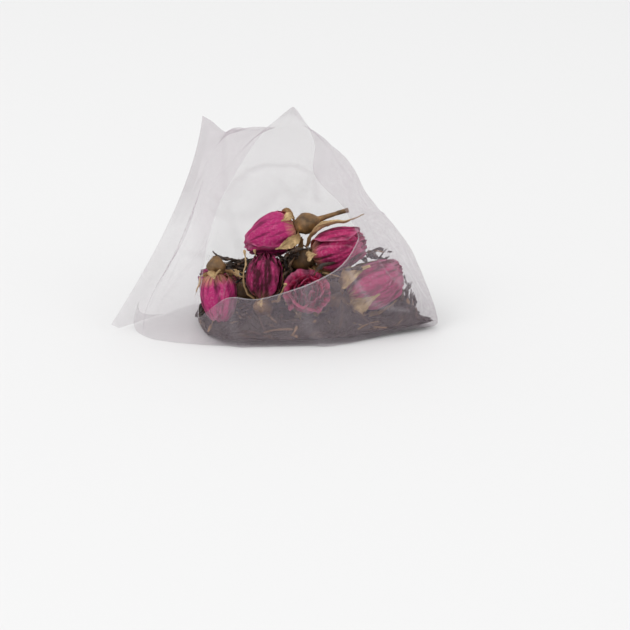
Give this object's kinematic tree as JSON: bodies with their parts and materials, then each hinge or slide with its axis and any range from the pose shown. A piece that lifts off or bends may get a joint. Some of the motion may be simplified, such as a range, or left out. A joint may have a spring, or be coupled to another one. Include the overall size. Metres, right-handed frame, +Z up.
{
  "type": "pyramid tea bag",
  "caption": "Open pyramid bag of white nylon mesh with a welded fin along its left edge, filled with dried rosebuds and black tea.",
  "frame": {"origin": "middle of the bag's flat base, on the surface that it rests on", "axes": "+Z up; -Y towards the open mouth; +X to the right of someone who looks into the mouth"},
  "size_m": [0.0961, 0.0501, 0.0656],
  "materials": {
    "mesh": "fine white nylon mesh, see-through",
    "petals": "dry, wrinkled, magenta to dark purple",
    "calyx": "dry, olive brown to tan",
    "tea": "dry, near-black twisted leaf"
  },
  "bodies": {
    "root": {"mesh_bag": "mesh", "tea_leaf_bed": "tea", "rear_bud_petals": "petals", "rear_bud_calyx": "calyx", "back_left_bud_petals": "petals", "back_left_bud_calyx": "calyx", "left_bud_petals": "petals", "left_bud_calyx": "calyx", "corner_bud_petals": "petals", "corner_bud_calyx": "calyx", "open_bud_petals": "petals", "open_bud_calyx": "calyx", "middle_bud_petals": "petals", "middle_bud_calyx": "calyx", "right_bud_petals": "petals", "right_bud_calyx": "calyx", "top_bud_petals": "petals", "top_bud_calyx": "calyx", "tea_leaf_1": "tea", "tea_leaf_2": "tea", "tea_leaf_3": "tea", "tea_leaf_4": "tea", "tea_leaf_5": "tea", "tea_leaf_6": "tea", "tea_leaf_7": "tea", "tea_leaf_8": "tea", "tea_leaf_9": "tea", "tea_leaf_10": "tea"}
  },
  "joints": []
}
